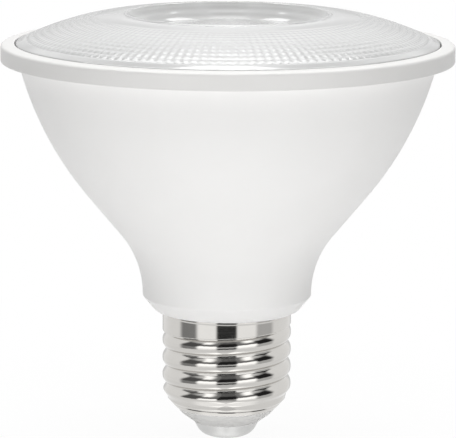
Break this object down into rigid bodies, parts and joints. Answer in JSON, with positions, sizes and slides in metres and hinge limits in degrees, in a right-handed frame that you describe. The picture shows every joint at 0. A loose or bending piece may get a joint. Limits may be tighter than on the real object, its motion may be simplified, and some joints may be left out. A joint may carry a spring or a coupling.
{
  "type": "par spotlight bulb",
  "caption": "Short-neck reflector lamp: white bowl housing, clear pillow-lens front with a central well, white rim ring and a nickel-plated medium screw base.",
  "frame": {"origin": "tip of the centre contact, on the lamp's axis", "axes": "+Z along the lamp's axis from the contact to the lens; the driver board lies in the XZ plane with the transformer on its -Y side"},
  "size_m": [0.0917, 0.0916, 0.0874],
  "materials": {
    "white_plastic": "smooth satin moulding",
    "clear_acrylic": "clear polished moulding",
    "nickel_plate": "bright nickel plate",
    "pale_insulator": "matt moulding",
    "tinned_metal": "satin tin plate",
    "silicone": "matt",
    "bare_aluminium": "spun",
    "grey_pad": "matt",
    "white_board": "white solder mask",
    "white_ceramic": "matt",
    "phosphor": "cast silicone",
    "steel": "plain",
    "green_board": "solder mask",
    "ferrite": "sintered",
    "yellow_tape": "film",
    "dark_sleeve": "shrunk film",
    "red_case": "dipped",
    "black_resin": "moulded",
    "blue_lacquer": "lacquer",
    "red_insulation": "smooth",
    "black_insulation": "smooth",
    "white_insulation": "smooth"
  },
  "bodies": {
    "root": {"screw_shell": "nickel_plate", "base_insulator": "pale_insulator", "centre_contact": "tinned_metal", "housing": "white_plastic", "front_bezel": "white_plastic", "lens": "clear_acrylic", "lens_gasket": "silicone", "heat_sink": "bare_aluminium", "thermal_pad": "grey_pad", "led_board": "white_board", "led_carrier": "white_ceramic", "led_phosphor": "phosphor", "board_screws": "steel", "driver_board": "green_board", "transformer_core": "ferrite", "transformer_coil": "yellow_tape", "bulk_capacitor": "dark_sleeve", "output_capacitor": "dark_sleeve", "film_capacitor": "red_case", "bridge_rectifier": "black_resin", "controller_chip": "black_resin", "fuse_resistor": "blue_lacquer", "line_lead": "black_insulation", "neutral_lead": "white_insulation", "positive_lead": "red_insulation", "negative_lead": "black_insulation"}
  },
  "joints": []
}
